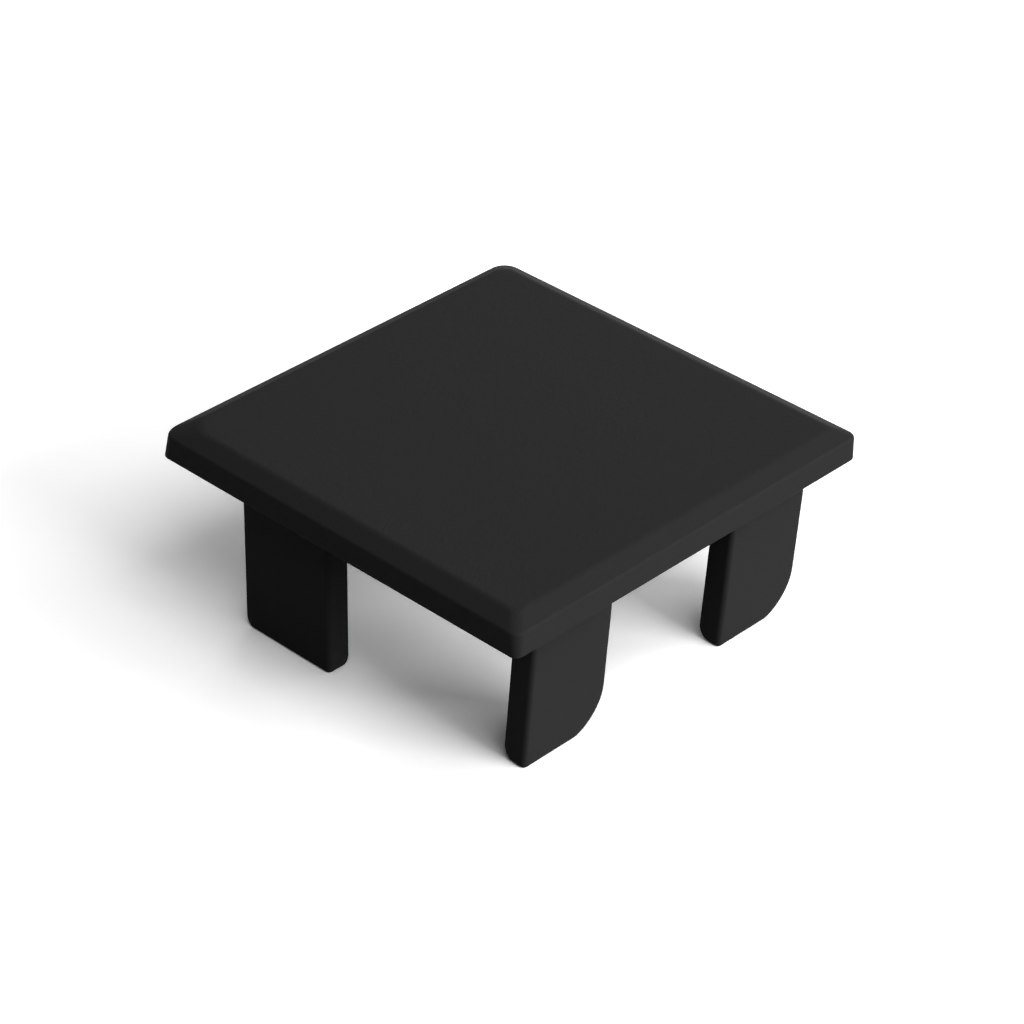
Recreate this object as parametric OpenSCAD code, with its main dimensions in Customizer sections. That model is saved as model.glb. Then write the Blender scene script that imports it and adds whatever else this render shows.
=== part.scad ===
// End cap for a square tube, moulded in one piece.
// A square head closes the tube's mouth and four flat legs go down inside its walls.
// The origin is the middle of the head's underside, which seats on the end of the tube.
// +Z points up out of the tube, -Z down into it.
// +X and +Y lie along the sides of the head. A pair of legs stands on the -Y wall,
// and there is a single leg on the -X wall and another on the +X wall.

/* [Head] */
// Side of the square head, and of the square tube that it closes
head_side = 40; // [34:0.5:80]
// Height of the upright side face, from the underside to the ridge
face_h = 2.2; // [1.5:0.05:6]
// Height of the chamfer above the ridge
chamfer_h = 0.8; // [0.4:0.05:1.4]
// Width of the chamfer, measured level and inwards from the side face
chamfer_w = 1.5; // [1.1:0.05:3]
// Radius of the head's four upright corners, seen from above
corner_r = 1.5; // [0.9:0.05:3]
// Radius that softens the ridge between the side face and the chamfer
ridge_r = 0.6; // [0.1:0.05:0.8]
// Radius that softens the edge between the chamfer and the top
crown_r = 1.8; // [0.2:0.1:2.5]
// Radius of the head's bottom edge
rim_r = 0.15; // [0.05:0.01:0.4]

/* [Tube] */
// Wall thickness of the tube
tube_wall = 1.8; // [1:0.1:3]
// Clearance between the tube's inner wall and the outer face of a leg at its root
wall_gap = 0.1; // [0:0.05:0.5]

/* [Legs] */
// Depth of the legs below the head's underside
leg_len = 13.9; // [8:0.1:40]
// Thickness of a leg
leg_t = 2.4; // [1.5:0.1:4]
// Radius of a leg's four upright edges
leg_edge_r = 0.4; // [0.1:0.05:0.7]
// Radius of a foot's outer bottom edge and of its plain corner
toe_r = 0.25; // [0.05:0.05:0.5]

/* [Pair of legs on the -Y wall] */
// Width of each leg of the pair
pair_w = 9; // [6:0.1:12]
// Distance from the head's side to the outer end of each leg of the pair
pair_end = 4; // [2.5:0.1:5]
// Depth to which the pair comes straight down through the tube's mouth before it leans
pair_land = 2.2; // [0.5:0.1:3]
// Angle by which the pair leans inwards below that
pair_lean = 4; // [0:0.1:8]
// Large radius on the bottom corner at the +X end of each leg of the pair
pair_sweep_r = 3.9; // [0.5:0.1:5]
// Radius of the inner bottom edge of the pair's feet
pair_heel_r = 1.2; // [0.1:0.1:1.2]

/* [Single legs on the -X and +X walls] */
// Width of each single leg
single_w = 10; // [6:0.1:14]
// Distance from the head's +Y side to the nearer end of each single leg
single_back = 7.5; // [4:0.1:12]
// Radius of the bottom corner at the +Y end of each single leg
single_sweep_r = 1; // [0.1:0.1:4]
// Radius of the inner bottom edge of the single legs' feet
single_heel_r = 0.8; // [0.1:0.1:1.2]

/* [Hidden] */
$fn = 96;

// Heights and places that follow from the sizes above
head_h = face_h + chamfer_h;
half = head_side / 2;
wall_inset = tube_wall + wall_gap;
chamfer_angle = atan2(chamfer_h, chamfer_w);
// Length of straight edge that each rounding takes up on either side of its corner
ridge_cut = ridge_r * tan((90 - chamfer_angle) / 2);
crown_cut = crown_r * tan(chamfer_angle / 2);
// A leg's root goes this far up into the head, so that leg and head are one solid
root_bite = face_h / 2;
// The leaning part of a leg is this long, measured along itself, for its toe to reach leg_len
pair_fall = leg_len - pair_land;
pair_reach = (pair_fall - toe_r * (1 - sin(pair_lean))) / cos(pair_lean) + toe_r;
// Room that a cutting outline leaves beyond the leg that it shapes
margin = 1;

// A point at a distance along a direction, both in the plane of a profile
function step(point, angle, distance) = point + distance * [cos(angle), sin(angle)];

// A rounded corner: the sector of a circle between the two tangent points
module rounded_corner(corner, first, last, centre, radius) {
    intersection() {
        translate(centre) circle(r = radius);
        polygon([centre, first, corner, last]);
    }
}

// Edge profile of the head. X is the distance in from the side face and Y is the height.
// It runs from the underside round the rim, up the face, over the ridge and chamfer to the top.
module edge_profile(depth) {
    ridge = [0, face_h];
    crown = [chamfer_w, head_h];
    ridge_low = step(ridge, -90, ridge_cut);
    ridge_high = step(ridge, chamfer_angle, ridge_cut);
    crown_low = step(crown, chamfer_angle, -crown_cut);
    crown_high = step(crown, 0, crown_cut);
    polygon([
        [depth, 0], [rim_r, 0], [0, rim_r],
        ridge_low, ridge_high, crown_low, crown_high, [depth, head_h]
    ]);
    rounded_corner([0, 0], [rim_r, 0], [0, rim_r], [rim_r, rim_r], rim_r);
    rounded_corner(ridge, ridge_low, ridge_high, step(ridge_low, 0, ridge_r), ridge_r);
    rounded_corner(crown, crown_low, crown_high, step(crown_high, -90, crown_r), crown_r);
}

// The head's section from side to side, as a bar that is as long as the head is wide
module head_bar() {
    rotate([90, 0, 0])
        linear_extrude(height = head_side, center = true) {
            translate([-half, 0]) edge_profile(half);
            mirror([1, 0]) translate([-half, 0]) edge_profile(half);
        }
}

// The block of material round one upright corner that the rounding replaces
module corner_block() {
    translate([half - corner_r, half - corner_r, -margin])
        cube([corner_r + margin, corner_r + margin, head_h + 2 * margin]);
}

// One rounded corner of the head: the edge profile turned through a right angle
module corner_turn() {
    translate([half - corner_r, half - corner_r, 0])
        rotate_extrude(angle = 90)
            intersection() {
                translate([corner_r, 0]) mirror([1, 0]) edge_profile(2 * corner_r + chamfer_w);
                square([corner_r, head_h]);
            }
}

// The square head. Two crossed bars meet in mitres and each corner is turned round its radius.
module head() {
    difference() {
        intersection() {
            head_bar();
            rotate([0, 0, 90]) head_bar();
        }
        for (turn = [0 : 90 : 270])
            rotate([0, 0, turn])
                difference() {
                    corner_block();
                    corner_turn();
                }
    }
}

// A rectangle whose bottom corners have their own radii. It spans 0 to width in X,
// and its bottom is at -drop. Its sides run up past the leg's root.
module foot_outline(width, drop, left_r, right_r) {
    top = root_bite + margin;
    polygon([
        [0, top], [0, left_r - drop], [left_r, -drop],
        [width - right_r, -drop], [width, right_r - drop], [width, top]
    ]);
    translate([left_r, left_r - drop])
        intersection() {
            circle(r = left_r);
            translate([-left_r, -left_r]) square(left_r);
        }
    translate([width - right_r, right_r - drop])
        intersection() {
            circle(r = right_r);
            translate([0, -right_r]) square(right_r);
        }
}

// Level section of a leg, with its four upright edges rounded
module leg_section(width) {
    difference() {
        square([width, leg_t]);
        for (x = [0, 1], y = [0, 1])
            translate([x * width, y * leg_t])
                mirror([x, 0]) mirror([0, y])
                    difference() {
                        translate([-margin, -margin]) square(leg_edge_r + margin);
                        translate([leg_edge_r, leg_edge_r]) circle(r = leg_edge_r);
                    }
    }
}

// One leg in its own place: outer face at Y = 0, root at Z = 0, foot at -drop.
// Its section, its outline from the front and its outline from the end are cut from one another.
module leg(width, drop, left_r, right_r, heel_r) {
    intersection() {
        translate([0, 0, -drop - margin])
            linear_extrude(height = drop + margin + root_bite) leg_section(width);
        translate([0, leg_t + margin, 0]) rotate([90, 0, 0])
            linear_extrude(height = leg_t + 2 * margin) foot_outline(width, drop, left_r, right_r);
        translate([-margin, 0, 0]) rotate([90, 0, 90])
            linear_extrude(height = width + 2 * margin) foot_outline(leg_t, drop, toe_r, heel_r);
    }
}

// Half of space above (side = 0) or below (side = -1) the mitre plane of the knee, round a leg
module knee_side(side) {
    rotate([pair_lean / 2, 0, 0])
        translate([-margin, -leg_len, side * 2 * leg_len])
            cube([pair_w + 2 * margin, 2 * leg_len, 2 * leg_len]);
}

// One of the two legs on the -Y wall. It comes straight down to a knee and leans in below it.
// The two parts have one section, so they meet in a mitre.
module pair_leg(place) {
    translate([place, wall_inset - half, -pair_land]) {
        intersection() {
            translate([0, 0, -margin])
                linear_extrude(height = margin + pair_land + root_bite) leg_section(pair_w);
            knee_side(0);
        }
        intersection() {
            rotate([pair_lean, 0, 0])
                leg(pair_w, pair_reach, toe_r, pair_sweep_r, pair_heel_r);
            knee_side(-1);
        }
    }
}

// The upright leg on the -X wall
module single_leg() {
    translate([wall_inset - half, half - single_back, 0]) rotate([0, 0, -90])
        leg(single_w, leg_len, single_sweep_r, toe_r, single_heel_r);
}

module end_cap() {
    color([0.17, 0.17, 0.17]) {
        head();
        pair_leg(pair_end - half);
        pair_leg(half - pair_end - pair_w);
        single_leg();
        mirror([1, 0, 0]) single_leg();
    }
}

end_cap();
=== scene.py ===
"""Looks of a moulded end cap for a square tube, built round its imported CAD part.

One closed skin stands for the CAD solid: the head with its ridge, its chamfer and
its softened mitres, the flat underside, and four legs that grow out of it. Every
surface is worked out as whole numpy arrays. Lengths in the classes are millimetres
and angles are degrees, and both are turned into metres and radians where they are used.
"""

from __future__ import annotations

import logging
import math
from dataclasses import dataclass, field
from enum import Enum

import bpy
import numpy as np
from mathutils import Matrix, Vector
from mathutils.geometry import tessellate_polygon

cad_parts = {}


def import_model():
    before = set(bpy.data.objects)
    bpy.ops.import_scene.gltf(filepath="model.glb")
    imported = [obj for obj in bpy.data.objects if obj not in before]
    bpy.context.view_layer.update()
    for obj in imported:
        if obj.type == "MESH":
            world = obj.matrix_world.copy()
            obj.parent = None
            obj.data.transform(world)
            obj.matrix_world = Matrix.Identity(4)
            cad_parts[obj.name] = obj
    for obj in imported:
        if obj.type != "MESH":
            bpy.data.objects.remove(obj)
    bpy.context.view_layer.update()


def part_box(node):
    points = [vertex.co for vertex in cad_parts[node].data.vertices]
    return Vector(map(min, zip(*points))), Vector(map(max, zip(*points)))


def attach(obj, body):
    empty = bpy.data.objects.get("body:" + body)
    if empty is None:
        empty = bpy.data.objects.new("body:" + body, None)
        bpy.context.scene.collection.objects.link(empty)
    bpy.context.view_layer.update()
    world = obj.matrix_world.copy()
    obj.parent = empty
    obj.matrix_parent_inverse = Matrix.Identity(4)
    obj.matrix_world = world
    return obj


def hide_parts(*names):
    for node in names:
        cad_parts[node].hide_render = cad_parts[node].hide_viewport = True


LOG = logging.getLogger("end_cap")
MM = 0.001
NODE = "end_cap"
BODY = "root"

Array = np.ndarray
Colour = tuple[float, float, float]


class Wall(Enum):
    """The tube wall that a leg stands against, as the turn of the leg's own axes about Z."""

    FRONT = 0.0
    LEFT = -90.0
    RIGHT = 90.0


class Facing(Enum):
    """Which way the faces made from a run of rings look, seen along the run."""

    RISING = 1
    FALLING = -1


def direction(azimuth: float, elevation: float) -> Vector:
    """A unit vector at two angles.

    Its level part is the cosine of the elevation, and lies along X and Y as the cosine
    and the sine of the azimuth. Its height is the sine of the elevation.

    Args:
        azimuth: angle about Z, from X towards Y, in degrees.
        elevation: angle above the level, in degrees.

    Returns:
        The vector.
    """
    swing, rise = math.radians(azimuth), math.radians(elevation)
    level = math.cos(rise)
    return Vector((level * math.cos(swing), level * math.sin(swing), math.sin(rise)))


def put_in_scene(name: str, data: bpy.types.ID) -> bpy.types.Object:
    """Makes an object of a mesh, a lamp or a camera and links it to the scene.

    Args:
        name: the object's name.
        data: what the object shows.

    Returns:
        The object, at the origin.
    """
    made = bpy.data.objects.new(name, data)
    bpy.context.scene.collection.objects.link(made)
    return made


def grey(level: float) -> tuple[float, ...]:
    """An opaque grey of this level in all three colours."""
    return (level, level, level, 1.0)


def turn(radius: float, steps: int) -> Array:
    """Heights of a quarter circle above its lowest point: radius times (1 - cosine) of even angles.

    Args:
        radius: the circle's radius.
        steps: steps in the quarter circle.

    Returns:
        (steps + 1,) heights, from 0 to the radius.
    """
    return radius * (1.0 - np.cos(np.linspace(0.0, math.pi / 2, steps + 1)))


def draw_in(height: Array, radius: float) -> Array:
    """Distance by which a quarter circle has drawn in from its side wall.

    The circle touches the side wall at the height of its radius and the floor at
    height 0, so the distance is radius minus the root of radius squared minus
    (radius - height) squared.

    Args:
        height: heights above the circle's lowest point.
        radius: the circle's radius.

    Returns:
        The distances, 0 from the height of the radius upwards.
    """
    below = np.clip(radius - height, 0.0, radius)
    return radius - np.sqrt(radius**2 - below**2)


def rounded_rings(
    low: Array, high: Array, radius: Array, arc_steps: int, side_steps: int
) -> Array:
    """Rectangles with rounded corners, one for each level, all with the same points.

    Each corner is a quarter circle about a centre that lies one radius inside both
    sides, and even points on the straight sides join one corner to the next. The
    points run anticlockwise seen from above, from the low Y side's right-hand end.

    Args:
        low: (levels, 2) lowest X and Y of each rectangle.
        high: (levels, 2) highest X and Y of each rectangle.
        radius: (levels, 4) radius of each corner, in the order of the points.
        arc_steps: steps in each quarter circle.
        side_steps: points between two corners.

    Returns:
        (levels, points, 2) the rings.
    """
    side_x = np.array([1.0, 1.0, -1.0, -1.0])
    side_y = np.array([-1.0, 1.0, 1.0, -1.0])
    reach = ((high - low) / 2)[:, None, :] - radius[:, :, None]
    centre = ((low + high) / 2)[:, None, :] + reach * np.stack([side_x, side_y], 1)
    start = np.radians([-90.0, 0.0, 90.0, 180.0])
    angle = start[:, None] + np.linspace(0.0, math.pi / 2, arc_steps + 1)
    round_part = np.stack([np.cos(angle), np.sin(angle)], 2)
    arcs = centre[:, :, None, :] + radius[:, :, None, None] * round_part
    share = (np.arange(1, side_steps + 1) / (side_steps + 1))[:, None]
    ends, starts = arcs[:, :, -1:, :], np.roll(arcs[:, :, :1, :], -1, axis=1)
    sides = ends * (1 - share) + starts * share
    return np.concatenate([arcs, sides], 2).reshape(len(low), -1, 2)


def filleted(corners: Array, radii: Array, steps: Array) -> Array:
    """A run of straight lines whose inner corners are rounded by tangent arcs.

    An arc of radius r in a corner whose lines turn by an angle t begins r times the
    tangent of t / 2 before the corner. Its points are the centre plus r times a
    direction that swings evenly from one line's normal to the other's.

    Args:
        corners: (n, 2) the line's points.
        radii: (n - 2,) radius in each inner corner.
        steps: (n - 2,) steps in each arc.

    Returns:
        (m, 2) the rounded line.
    """
    parts = [corners[:1]]
    for corner, before, after, radius, count in zip(
        corners[1:-1], corners[:-2], corners[2:], radii, steps
    ):
        come = (corner - before) / np.linalg.norm(corner - before)
        go = (after - corner) / np.linalg.norm(after - corner)
        swing = math.atan2(come[0] * go[1] - come[1] * go[0], float(come @ go))
        begin = corner - come * radius * math.tan(abs(swing) / 2)
        inward = np.array([-come[1], come[0]]) * math.copysign(1.0, swing)
        centre = begin + inward * radius
        angle = math.atan2(-inward[1], -inward[0]) + np.linspace(0, swing, int(count) + 1)
        parts.append(centre + radius * np.stack([np.cos(angle), np.sin(angle)], 1))
    return np.concatenate([*parts, corners[-1:]])


@dataclass
class Skin:
    """A mesh that is put together from runs of rings and flat fillings.

    The rings of a run share their points with whatever is joined to them, so the
    finished skin is closed without merging doubles.
    """

    points: list[Array] = field(default_factory=list)
    faces: list[list[int]] = field(default_factory=list)
    count: int = 0

    def add_points(self, points: Array) -> Array:
        """Stores points and says where they are.

        Args:
            points: (..., 3) points in millimetres.

        Returns:
            (...) index of each point.
        """
        flat = points.reshape(-1, 3)
        index = np.arange(self.count, self.count + len(flat)).reshape(points.shape[:-1])
        self.points.append(flat)
        self.count += len(flat)
        return index

    def add_run(self, index: Array, facing: Facing) -> None:
        """Lays quads between each ring and the next.

        Args:
            index: (levels, points) indices of the rings.
            facing: whether the rings rise or fall, so that faces look outwards.
        """
        here, there = index[:-1], index[1:]
        quads = np.stack(
            [here, np.roll(here, -1, 1), np.roll(there, -1, 1), there], 2
        ).reshape(-1, 4)
        self.faces += quads[:, :: facing.value].tolist()

    def add_lid(self, ring: Array, centre: int, facing: Facing) -> None:
        """Closes a ring with triangles to a point in its middle.

        Args:
            ring: (points,) indices of the ring.
            centre: index of the middle point.
            facing: RISING for a lid that looks up, FALLING for one that looks down.
        """
        fan = np.stack([ring, np.roll(ring, -1), np.full_like(ring, centre)], 1)
        self.faces += fan[:, :: facing.value].tolist()

    def add_plate(self, outline: Array, holes: list[Array]) -> None:
        """Fills a level outline round its holes with triangles that look down.

        Args:
            outline: indices of the outer ring.
            holes: indices of each hole's ring.
        """
        placed = np.concatenate(self.points)
        loops = [outline, *holes]
        lines = [[Vector(p) for p in placed[loop].tolist()] for loop in loops]
        order = np.concatenate(loops)
        triangles = order[np.array(tessellate_polygon(lines))]
        first, second, third = (placed[triangles[:, k], :2] for k in range(3))
        area = np.cross(second - first, third - first)
        triangles[area > 0] = triangles[area > 0][:, ::-1]
        self.faces += triangles.tolist()

    def finish(self, name: str, crease: float, material: bpy.types.Material) -> bpy.types.Object:
        """Makes the mesh object, smooth but for its true corners.

        Args:
            name: the object's name.
            crease: faces that meet at more than this angle keep a sharp edge.
            material: the object's finish.

        Returns:
            The object, at the origin, with its place in its mesh.
        """
        mesh = bpy.data.meshes.new(name)
        mesh.from_pydata((np.concatenate(self.points) * MM).tolist(), [], self.faces)
        mesh.validate()
        mesh.shade_smooth()
        mesh.set_sharp_from_angle(angle=math.radians(crease))
        mesh.materials.append(material)
        made = put_in_scene(name, mesh)
        weigh = made.modifiers.new("even_shading", "WEIGHTED_NORMAL")
        weigh.keep_sharp = True
        return made


@dataclass
class Head:
    """The square head: upright faces, a softened ridge, a chamfer and a flat top.

    The corners differ a little, as moulded ones do. Each tuple of radii goes round them
    anticlockwise seen from above, from the corner between +X and -Y.
    """

    side: float
    height: float
    chamfer_h: float = 0.8
    chamfer_w: float = 1.6
    foot_corner_r: tuple[float, ...] = (0.7, 0.7, 0.7, 0.7)
    ridge_corner_r: tuple[float, ...] = (0.8, 1.5, 1.6, 0.9)
    crown_corner_r: tuple[float, ...] = (0.5, 1.2, 2.6, 0.8)
    ridge_r: float = 0.3
    crown_r: float = 1.3
    rim_r: float = 0.15
    rim_steps: int = 4
    bend_steps: int = 8
    arc_steps: int = 12
    side_steps: int = 39
    top_rings: int = 10

    def profile(self) -> Array:
        """The edge's section: up the side face, over the ridge and the chamfer, to the top.

        Returns:
            (n, 2) distance in from the side and height of each point, from the underside up.
        """
        face_h = self.height - self.chamfer_h
        corners = np.array(
            [
                [self.rim_r, 0.0],
                [0.0, 0.0],
                [0.0, face_h],
                [self.chamfer_w, self.height],
                [self.chamfer_w + self.crown_r, self.height],
            ]
        )
        line = filleted(
            corners,
            np.array([self.rim_r, self.ridge_r, self.crown_r]),
            np.array([self.rim_steps, self.bend_steps, self.bend_steps]),
        )
        return line[1:]

    def rings(self) -> Array:
        """The head's rings: its side less twice the distance in.

        Each corner has a radius of its own at the foot of the side face, at the ridge and
        at the crown. It changes evenly with the height up the side face, and with the
        distance in above it. Where the rings shrink to the top's middle, it is no more
        than a quarter of the ring's side.

        Returns:
            (levels, points, 3) from the underside's rim to the top's middle.
        """
        edge = self.profile()
        inward = np.linspace(edge[-1, 0], self.side / 2, self.top_rings + 1)[1:-1]
        flat = np.stack([inward, np.full_like(inward, self.height)], 1)
        edge = np.concatenate([edge, flat])
        half = self.side / 2 - edge[:, 0]
        climb = np.clip(edge[:, 1:] / (self.height - self.chamfer_h), 0.0, 1.0)
        inset = np.clip(edge[:, :1] / self.chamfer_w, 0.0, 1.0)
        foot, ridge, crown = map(
            np.array, (self.foot_corner_r, self.ridge_corner_r, self.crown_corner_r)
        )
        radius = foot + (ridge - foot) * climb + (crown - ridge) * inset
        radius = np.minimum(radius, half[:, None] / 2)
        square = np.stack([half, half], 1)
        level = rounded_rings(-square, square, radius, self.arc_steps, self.side_steps)
        height = np.broadcast_to(edge[:, 1, None, None], (*level.shape[:2], 1))
        return np.concatenate([level, height], 2)

    def build(self, skin: Skin) -> Array:
        """Adds the head's sides and top to the skin.

        Args:
            skin: the skin that takes the rings.

        Returns:
            Indices of the underside's outer ring.
        """
        index = skin.add_points(self.rings())
        skin.add_run(index, Facing.RISING)
        middle = skin.add_points(np.array([[0.0, 0.0, self.height]]))
        skin.add_lid(index[-1], int(middle[0]), Facing.RISING)
        return index[0]


@dataclass
class Leg:
    """One flat leg: rounded upright edges, a foot with its own radii, and perhaps a knee.

    In the leg's own axes X runs along the wall, Y from the wall inwards, and the
    depth is measured down along the leg from its root. The foot's left and right radii
    are at the low and the high end of X, its toe is at the wall and its heel inside.
    """

    name: str
    wall: Wall
    start: float
    width: float
    length: float
    left_r: float
    right_r: float
    heel_r: float
    toe_r: float
    thickness: float = 2.4
    edge_r: float = 0.4
    land: float = 0.0
    lean: float = 0.0
    knee_length: float = 0.8
    arc_steps: int = 6
    side_steps: int = 4
    shank_steps: int = 7
    knee_steps: int = 6
    foot_steps: int = 16
    line_steps: int = 4000
    least_gap: float = 0.004

    def reach(self) -> float:
        """Length of the leg along itself, so that the toe of a leaning leg ends at its depth.

        The centre of the toe's round is one radius in from the outer face and one short of
        the end, and the round is lowest one radius below it. So the slant is a radius plus
        the quotient of (fall - radius times (1 - sine of the lean)) by the lean's cosine.

        Returns:
            The length.
        """
        lean = math.radians(self.lean)
        fall = self.length - self.land
        slant = (fall - self.toe_r * (1 - math.sin(lean))) / math.cos(lean) + self.toe_r
        return self.land + slant

    def depths(self) -> Array:
        """Depths of the rings: even steps down the shank, finer through the knee and the foot.

        Returns:
            (levels,) depths that rise by more than the least gap.
        """
        reach = self.reach()
        radii = (self.left_r, self.right_r, self.toe_r, self.heel_r)
        parts = [reach - turn(radius, self.foot_steps) for radius in radii]
        parts.append(np.linspace(0.0, reach - max(radii), self.shank_steps + 1))
        if self.lean:
            across = np.linspace(-0.5, 0.5, self.knee_steps + 1)
            parts.append(across * self.knee_length + self.land)
        found = np.unique(np.concatenate(parts).round(4))
        apart = np.concatenate([[True], np.diff(found) > self.least_gap])
        return found[apart]

    def bent(self, points: Array, depth: Array) -> Array:
        """Lays the rings along the leg's outer line, which leans in below the knee.

        The line's angle swings evenly from 0 to the lean across the knee. Its points
        are the running sums of the sine and the cosine of the angle, each times the step
        along the line, and each ring stands at right angles to it.

        Args:
            points: (levels, points, 2) rings in the leg's own X and Y.
            depth: (levels,) depth of each ring.

        Returns:
            (levels, points, 3) rings in the leg's own axes.
        """
        fine = np.linspace(0.0, self.reach(), self.line_steps + 1)
        share = np.clip((fine - self.land) / self.knee_length + 0.5, 0.0, 1.0)
        angle = math.radians(self.lean) * share
        step = fine[1] - fine[0]
        middle = (angle[1:] + angle[:-1]) / 2
        across = np.concatenate([[0.0], np.cumsum(np.sin(middle))]) * step
        down = np.concatenate([[0.0], np.cumsum(np.cos(middle))]) * step
        here = np.interp(depth, fine, angle)[:, None]
        line_y = np.interp(depth, fine, across)[:, None]
        line_z = -np.interp(depth, fine, down)[:, None]
        inward = points[:, :, 1]
        placed_y = line_y + inward * np.cos(here)
        placed_z = line_z + inward * np.sin(here)
        return np.stack([points[:, :, 0], placed_y, placed_z], 2)

    def rings(self, wall_line: float) -> Array:
        """The leg's rings from its root to its foot, in the part's axes.

        Near the foot each side draws in along its own quarter circle. A corner's radius is
        the upright edge's less the smaller of the two distances beside it, but no less
        than half the toe's.

        Args:
            wall_line: distance from the part's middle to the leg's outer face.

        Returns:
            (levels, points, 3) rings.
        """
        depth = self.depths()
        height = self.reach() - depth
        left, right = draw_in(height, self.left_r), draw_in(height, self.right_r)
        toe, heel = draw_in(height, self.toe_r), draw_in(height, self.heel_r)
        low = np.stack([left, toe], 1)
        high = np.stack([self.width - right, self.thickness - heel], 1)
        beside = [(right, toe), (right, heel), (left, heel), (left, toe)]
        drawn = np.stack([np.minimum(*pair) for pair in beside], 1)
        radius = np.maximum(self.edge_r - drawn, self.toe_r / 2)
        level = rounded_rings(low, high, radius, self.arc_steps, self.side_steps)
        own = self.bent(level, depth) + np.array([self.start, -wall_line, 0.0])
        about = np.array(Matrix.Rotation(math.radians(self.wall.value), 3, "Z"))
        return own @ about.T

    def build(self, skin: Skin, wall_line: float) -> Array:
        """Adds the leg to the skin.

        Args:
            skin: the skin that takes the rings.
            wall_line: distance from the part's middle to the leg's outer face.

        Returns:
            Indices of the root's ring, which is a hole in the head's underside.
        """
        rings = self.rings(wall_line)
        index = skin.add_points(rings)
        skin.add_run(index, Facing.FALLING)
        middle = skin.add_points(rings[-1].mean(0, keepdims=True))
        skin.add_lid(index[-1], int(middle[0]), Facing.FALLING)
        return index[0]


@dataclass(frozen=True)
class MouldedPlastic:
    """Matte black plastic from a textured mould: fine ripples on level faces, smoother sides.

    A face counts as level where the height of its unit normal is above level_to, and as a
    side where it is below level_from.
    """

    name: str = "moulded_black_plastic"
    colour: Colour = (0.0184, 0.0184, 0.0188)
    pale_colour: Colour = (0.0196, 0.0196, 0.0200)
    roughness: float = 0.5
    roughness_swing: float = 0.02
    specular: float = 0.007
    ripple_length: float = 0.6
    ripple_width: float = 0.14
    ripple_angle: float = 15.0
    ripple_height: float = 0.018
    side_share: float = 0.3
    level_from: float = 0.8
    level_to: float = 0.99
    mottle_size: float = 2.4
    mottle_detail: float = 2.0

    def build(self) -> bpy.types.Material:
        """Makes the procedural material, all of it on Object coordinates in metres.

        Returns:
            The material.
        """
        made = bpy.data.materials.new(self.name)
        made.use_nodes = True
        nodes, links = made.node_tree.nodes, made.node_tree.links
        shader = nodes["Principled BSDF"]
        place = nodes.new("ShaderNodeTexCoord")
        shader.inputs["Specular IOR Level"].default_value = self.specular

        def noise(size: Vector, detail: float) -> bpy.types.Node:
            """Adds a noise that is turned to the ripples.

            Args:
                size: size of its features along its own axes, in millimetres.
                detail: how many finer layers it has.

            Returns:
                The noise's node.
            """
            turned = nodes.new("ShaderNodeMapping")
            turned.vector_type = "TEXTURE"
            turned.inputs["Rotation"].default_value = (0.0, 0.0, math.radians(self.ripple_angle))
            turned.inputs["Scale"].default_value = size * MM
            node = nodes.new("ShaderNodeTexNoise")
            node.inputs["Scale"].default_value = 1.0
            node.inputs["Detail"].default_value = detail
            links.new(place.outputs["Object"], turned.inputs["Vector"])
            links.new(turned.outputs["Vector"], node.inputs["Vector"])
            return node

        mottle = noise(Vector((1.0, 1.0, 1.0)) * self.mottle_size, self.mottle_detail)
        tint = nodes.new("ShaderNodeMix")
        tint.data_type = "RGBA"
        tint.inputs["A"].default_value = (*self.colour, 1.0)
        tint.inputs["B"].default_value = (*self.pale_colour, 1.0)
        links.new(mottle.outputs["Fac"], tint.inputs["Factor"])
        links.new(tint.outputs["Result"], shader.inputs["Base Color"])

        sheen = nodes.new("ShaderNodeMapRange")
        sheen.inputs["To Min"].default_value = self.roughness - self.roughness_swing
        sheen.inputs["To Max"].default_value = self.roughness + self.roughness_swing
        links.new(mottle.outputs["Fac"], sheen.inputs["Value"])
        links.new(sheen.outputs["Result"], shader.inputs["Roughness"])

        ripples = noise(Vector((self.ripple_length, self.ripple_width, self.ripple_width)), 0.0)
        upright = nodes.new("ShaderNodeSeparateXYZ")
        links.new(place.outputs["Normal"], upright.inputs["Vector"])
        level = nodes.new("ShaderNodeMapRange")
        level.interpolation_type = "SMOOTHSTEP"
        level.inputs["From Min"].default_value = self.level_from
        level.inputs["From Max"].default_value = self.level_to
        level.inputs["To Min"].default_value = self.side_share
        links.new(upright.outputs["Z"], level.inputs["Value"])

        bump = nodes.new("ShaderNodeBump")
        bump.inputs["Distance"].default_value = self.ripple_height * MM
        links.new(level.outputs["Result"], bump.inputs["Strength"])
        links.new(ripples.outputs["Fac"], bump.inputs["Height"])
        links.new(bump.outputs["Normal"], shader.inputs["Normal"])
        return made


def seen_directly(tree: bpy.types.NodeTree) -> bpy.types.NodeSocket:
    """A factor that is 1 for rays from the camera, a gloss or a glass, and 0 for others.

    Args:
        tree: the node tree that takes the nodes.

    Returns:
        The socket that gives the largest of the three kinds of ray.
    """
    ray = tree.nodes.new("ShaderNodeLightPath")
    found = ray.outputs["Is Camera Ray"]
    for kind in ("Is Glossy Ray", "Is Transmission Ray"):
        larger = tree.nodes.new("ShaderNodeMath")
        larger.operation = "MAXIMUM"
        tree.links.new(found, larger.inputs[0])
        tree.links.new(ray.outputs[kind], larger.inputs[1])
        found = larger.outputs["Value"]
    return found


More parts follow.
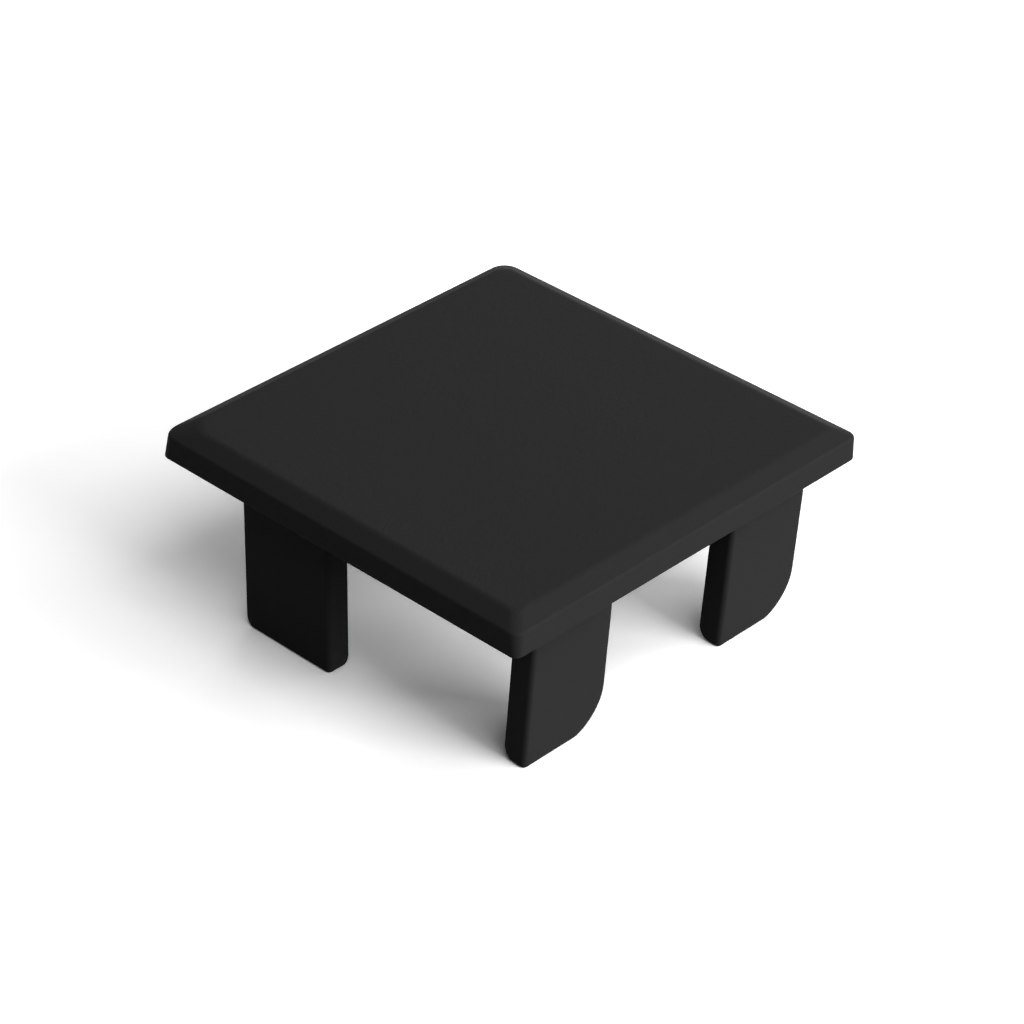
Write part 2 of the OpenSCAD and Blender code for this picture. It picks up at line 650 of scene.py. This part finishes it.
@dataclass(frozen=True)
class StudioFloor:
    """A white floor that shows as plain white but for the cap's shadow."""

    name: str = "studio_floor"
    span: float = 3000.0
    colour: float = 0.25
    seen_colour: float = 1.35

    def build(self, height: float) -> bpy.types.Object:
        """Lays the floor.

        Args:
            height: height of the floor, in metres.

        Returns:
            The floor.
        """
        half = self.span * MM / 2
        corners = [(-half, -half), (half, -half), (half, half), (-half, half)]
        mesh = bpy.data.meshes.new(self.name)
        mesh.from_pydata([(x, y, height) for x, y in corners], [], [(0, 1, 2, 3)])
        mesh.materials.append(self.paint())
        return put_in_scene(self.name, mesh)

    def paint(self) -> bpy.types.Material:
        """A diffuse white that is brighter where it is seen than in the light that it gives.

        Returns:
            The material.
        """
        made = bpy.data.materials.new(self.name)
        made.use_nodes = True
        nodes, links = made.node_tree.nodes, made.node_tree.links
        nodes.clear()
        shade = nodes.new("ShaderNodeMix")
        shade.data_type = "RGBA"
        shade.inputs["A"].default_value = grey(self.colour)
        shade.inputs["B"].default_value = grey(self.seen_colour)
        matte = nodes.new("ShaderNodeBsdfDiffuse")
        out = nodes.new("ShaderNodeOutputMaterial")
        links.new(seen_directly(made.node_tree), shade.inputs["Factor"])
        links.new(shade.outputs["Result"], matte.inputs["Color"])
        links.new(matte.outputs["BSDF"], out.inputs["Surface"])
        return made


@dataclass(frozen=True)
class SoftLamp:
    """A square soft box, aimed at the part."""

    name: str
    azimuth: float
    elevation: float
    level: float
    distance: float = 900.0
    side: float = 600.0

    def build(self, target: Vector) -> bpy.types.Object:
        """Hangs the lamp.

        A lamp of P watts at a distance D lights a level white floor to P times the sine
        of the elevation over (pi times D) squared, and level asks for that share of white.

        Args:
            target: the point that it faces.

        Returns:
            The lamp.
        """
        way = direction(self.azimuth, self.elevation)
        lamp = bpy.data.lights.new(self.name, "AREA")
        lamp.size = self.side * MM
        distance = self.distance * MM
        rise = math.sin(math.radians(self.elevation))
        lamp.energy = self.level * (math.pi * distance) ** 2 / rise
        made = put_in_scene(self.name, lamp)
        made.location = target + way * distance
        made.rotation_euler = way.to_track_quat("Z", "Y").to_euler()
        return made


@dataclass(frozen=True)
class Room:
    """The light that comes from all round, and the white that is seen behind the cap."""

    fill: float = 0.08
    seen: float = 1.0

    def build(self) -> None:
        """Sets the world: a soft fill, and plain white for the camera, gloss and glass."""
        world = bpy.data.worlds.new("studio_room")
        bpy.context.scene.world = world
        world.use_nodes = True
        nodes, links = world.node_tree.nodes, world.node_tree.links
        glow = nodes["Background"]
        glow.inputs["Color"].default_value = grey(1.0)
        power = nodes.new("ShaderNodeMix")
        power.inputs["A"].default_value = self.fill
        power.inputs["B"].default_value = self.seen
        links.new(seen_directly(world.node_tree), power.inputs["Factor"])
        links.new(power.outputs["Result"], glow.inputs["Strength"])


@dataclass(frozen=True)
class Viewpoint:
    """The photograph's viewing angle, as fitted to the cap's edges.

    The camera looks along the azimuth and down by the elevation, at a point of the
    head's underside, from the distance. The lens and the sensor are in millimetres.
    """

    name: str = "photo_view"
    azimuth: float = 43.42
    elevation: float = 33.61
    roll: float = 1.04
    distance: float = 280.59
    aim_x: float = -5.675
    aim_y: float = -5.755
    lens: float = 124.2
    sensor: float = 36.0
    nearest: float = 10.0
    farthest: float = 10000.0

    def build(self) -> bpy.types.Object:
        """Places the camera, with its three axes worked out from the angles.

        One axis looks ahead. The level one at right angles to it and the one above both
        are turned about it by the roll, as sums with the roll's cosine and sine.

        Returns:
            The camera.
        """
        swing, roll = math.radians(self.azimuth), math.radians(self.roll)
        ahead = direction(self.azimuth, -self.elevation)
        level = Vector((math.sin(swing), -math.cos(swing), 0.0))
        above = level.cross(ahead)
        right = level * math.cos(roll) + above * math.sin(roll)
        up = above * math.cos(roll) - level * math.sin(roll)
        lens = bpy.data.cameras.new(self.name)
        lens.lens, lens.sensor_width = self.lens, self.sensor
        lens.clip_start, lens.clip_end = self.nearest * MM, self.farthest * MM
        made = put_in_scene(self.name, lens)
        axes = Matrix((right, up, -ahead)).transposed()
        place = Vector((self.aim_x, self.aim_y, 0.0)) - ahead * self.distance
        made.matrix_world = Matrix.Translation(place * MM) @ axes.to_4x4()
        bpy.context.scene.camera = made
        return made


@dataclass
class EndCap:
    """The whole cap: the head, and the legs that its driving sizes place.

    The head's side and height and the legs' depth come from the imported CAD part.
    """

    side: float
    height: float
    depth: float
    wall_inset: float = 1.9
    toe_r: float = 0.25
    pair_width: float = 9.0
    pair_end: float = 4.0
    pair_sweep_r: float = 3.9
    pair_heel_r: float = 1.2
    pair_land: float = 2.2
    pair_lean: float = 4.0
    single_width: float = 10.0
    single_back: float = 7.5
    single_sweep_r: float = 1.0
    single_heel_r: float = 0.8
    crease: float = 40.0

    def legs(self) -> list[Leg]:
        """The four legs: a leaning pair on the front wall and one on each side wall.

        Returns:
            The legs, of which the one on the right wall mirrors the one on the left.
        """
        half = self.side / 2
        pair = dict(
            wall=Wall.FRONT,
            width=self.pair_width,
            length=self.depth,
            left_r=self.toe_r,
            right_r=self.pair_sweep_r,
            heel_r=self.pair_heel_r,
            toe_r=self.toe_r,
            land=self.pair_land,
            lean=self.pair_lean,
        )
        single = dict(
            width=self.single_width,
            length=self.depth,
            heel_r=self.single_heel_r,
            toe_r=self.toe_r,
        )
        far = half - self.single_back - self.single_width
        return [
            Leg(name="front_leg", start=self.pair_end - half, **pair),
            Leg(name="right_leg", start=half - self.pair_end - self.pair_width, **pair),
            Leg(
                name="left_leg",
                wall=Wall.LEFT,
                start=self.single_back - half,
                left_r=self.single_sweep_r,
                right_r=self.toe_r,
                **single,
            ),
            Leg(
                name="hidden_leg",
                wall=Wall.RIGHT,
                start=far,
                left_r=self.toe_r,
                right_r=self.single_sweep_r,
                **single,
            ),
        ]

    def build(self, finish: MouldedPlastic) -> bpy.types.Object:
        """Builds the skin and lets it stand for the CAD solid.

        Args:
            finish: the plastic.

        Returns:
            The cap.
        """
        skin = Skin()
        outline = Head(self.side, self.height).build(skin)
        LOG.info("head: %.1f mm square and %.1f mm high", self.side, self.height)
        wall_line = self.side / 2 - self.wall_inset
        roots = []
        for leg in self.legs():
            roots.append(leg.build(skin, wall_line))
            LOG.info("%s: %.1f mm wide and %.1f mm deep", leg.name, leg.width, leg.length)
        skin.add_plate(outline, roots)
        made = skin.finish("end_cap_skin", self.crease, finish.build())
        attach(made, BODY)
        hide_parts(NODE)
        LOG.info("end_cap_skin: %d faces", len(made.data.polygons))
        return made


STUDIO = (
    SoftLamp("key_lamp", azimuth=-106.0, elevation=58.0, level=0.41),
    SoftLamp("back_lamp", azimuth=-30.0, elevation=60.0, level=0.08),
    SoftLamp("low_lamp", azimuth=-30.0, elevation=15.0, level=0.19),
    SoftLamp("front_lamp", azimuth=-77.0, elevation=16.0, level=0.36),
    SoftLamp("right_lamp", azimuth=30.0, elevation=20.0, level=0.09, side=500.0),
)


def main() -> None:
    """Builds the cap, the studio and the camera in order."""
    logging.basicConfig(level=logging.INFO, format="%(name)s: %(message)s")
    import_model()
    low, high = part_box(NODE)
    cap = EndCap(
        side=round((high.x - low.x) / MM, 3),
        height=round(high.z / MM, 3),
        depth=round(-low.z / MM, 3),
    )
    cap.build(MouldedPlastic())
    floor = StudioFloor().build(low.z)
    LOG.info("floor: %.1f mm below the head", -low.z / MM)
    for lamp in STUDIO:
        lamp.build(Vector((0.0, 0.0, 0.0)))
        LOG.info("%s: level %.2f", lamp.name, lamp.level)
    Room().build()
    Viewpoint().build()
    view = bpy.context.scene.view_settings
    view.view_transform = "Standard"


if __name__ == "__main__":
    main()
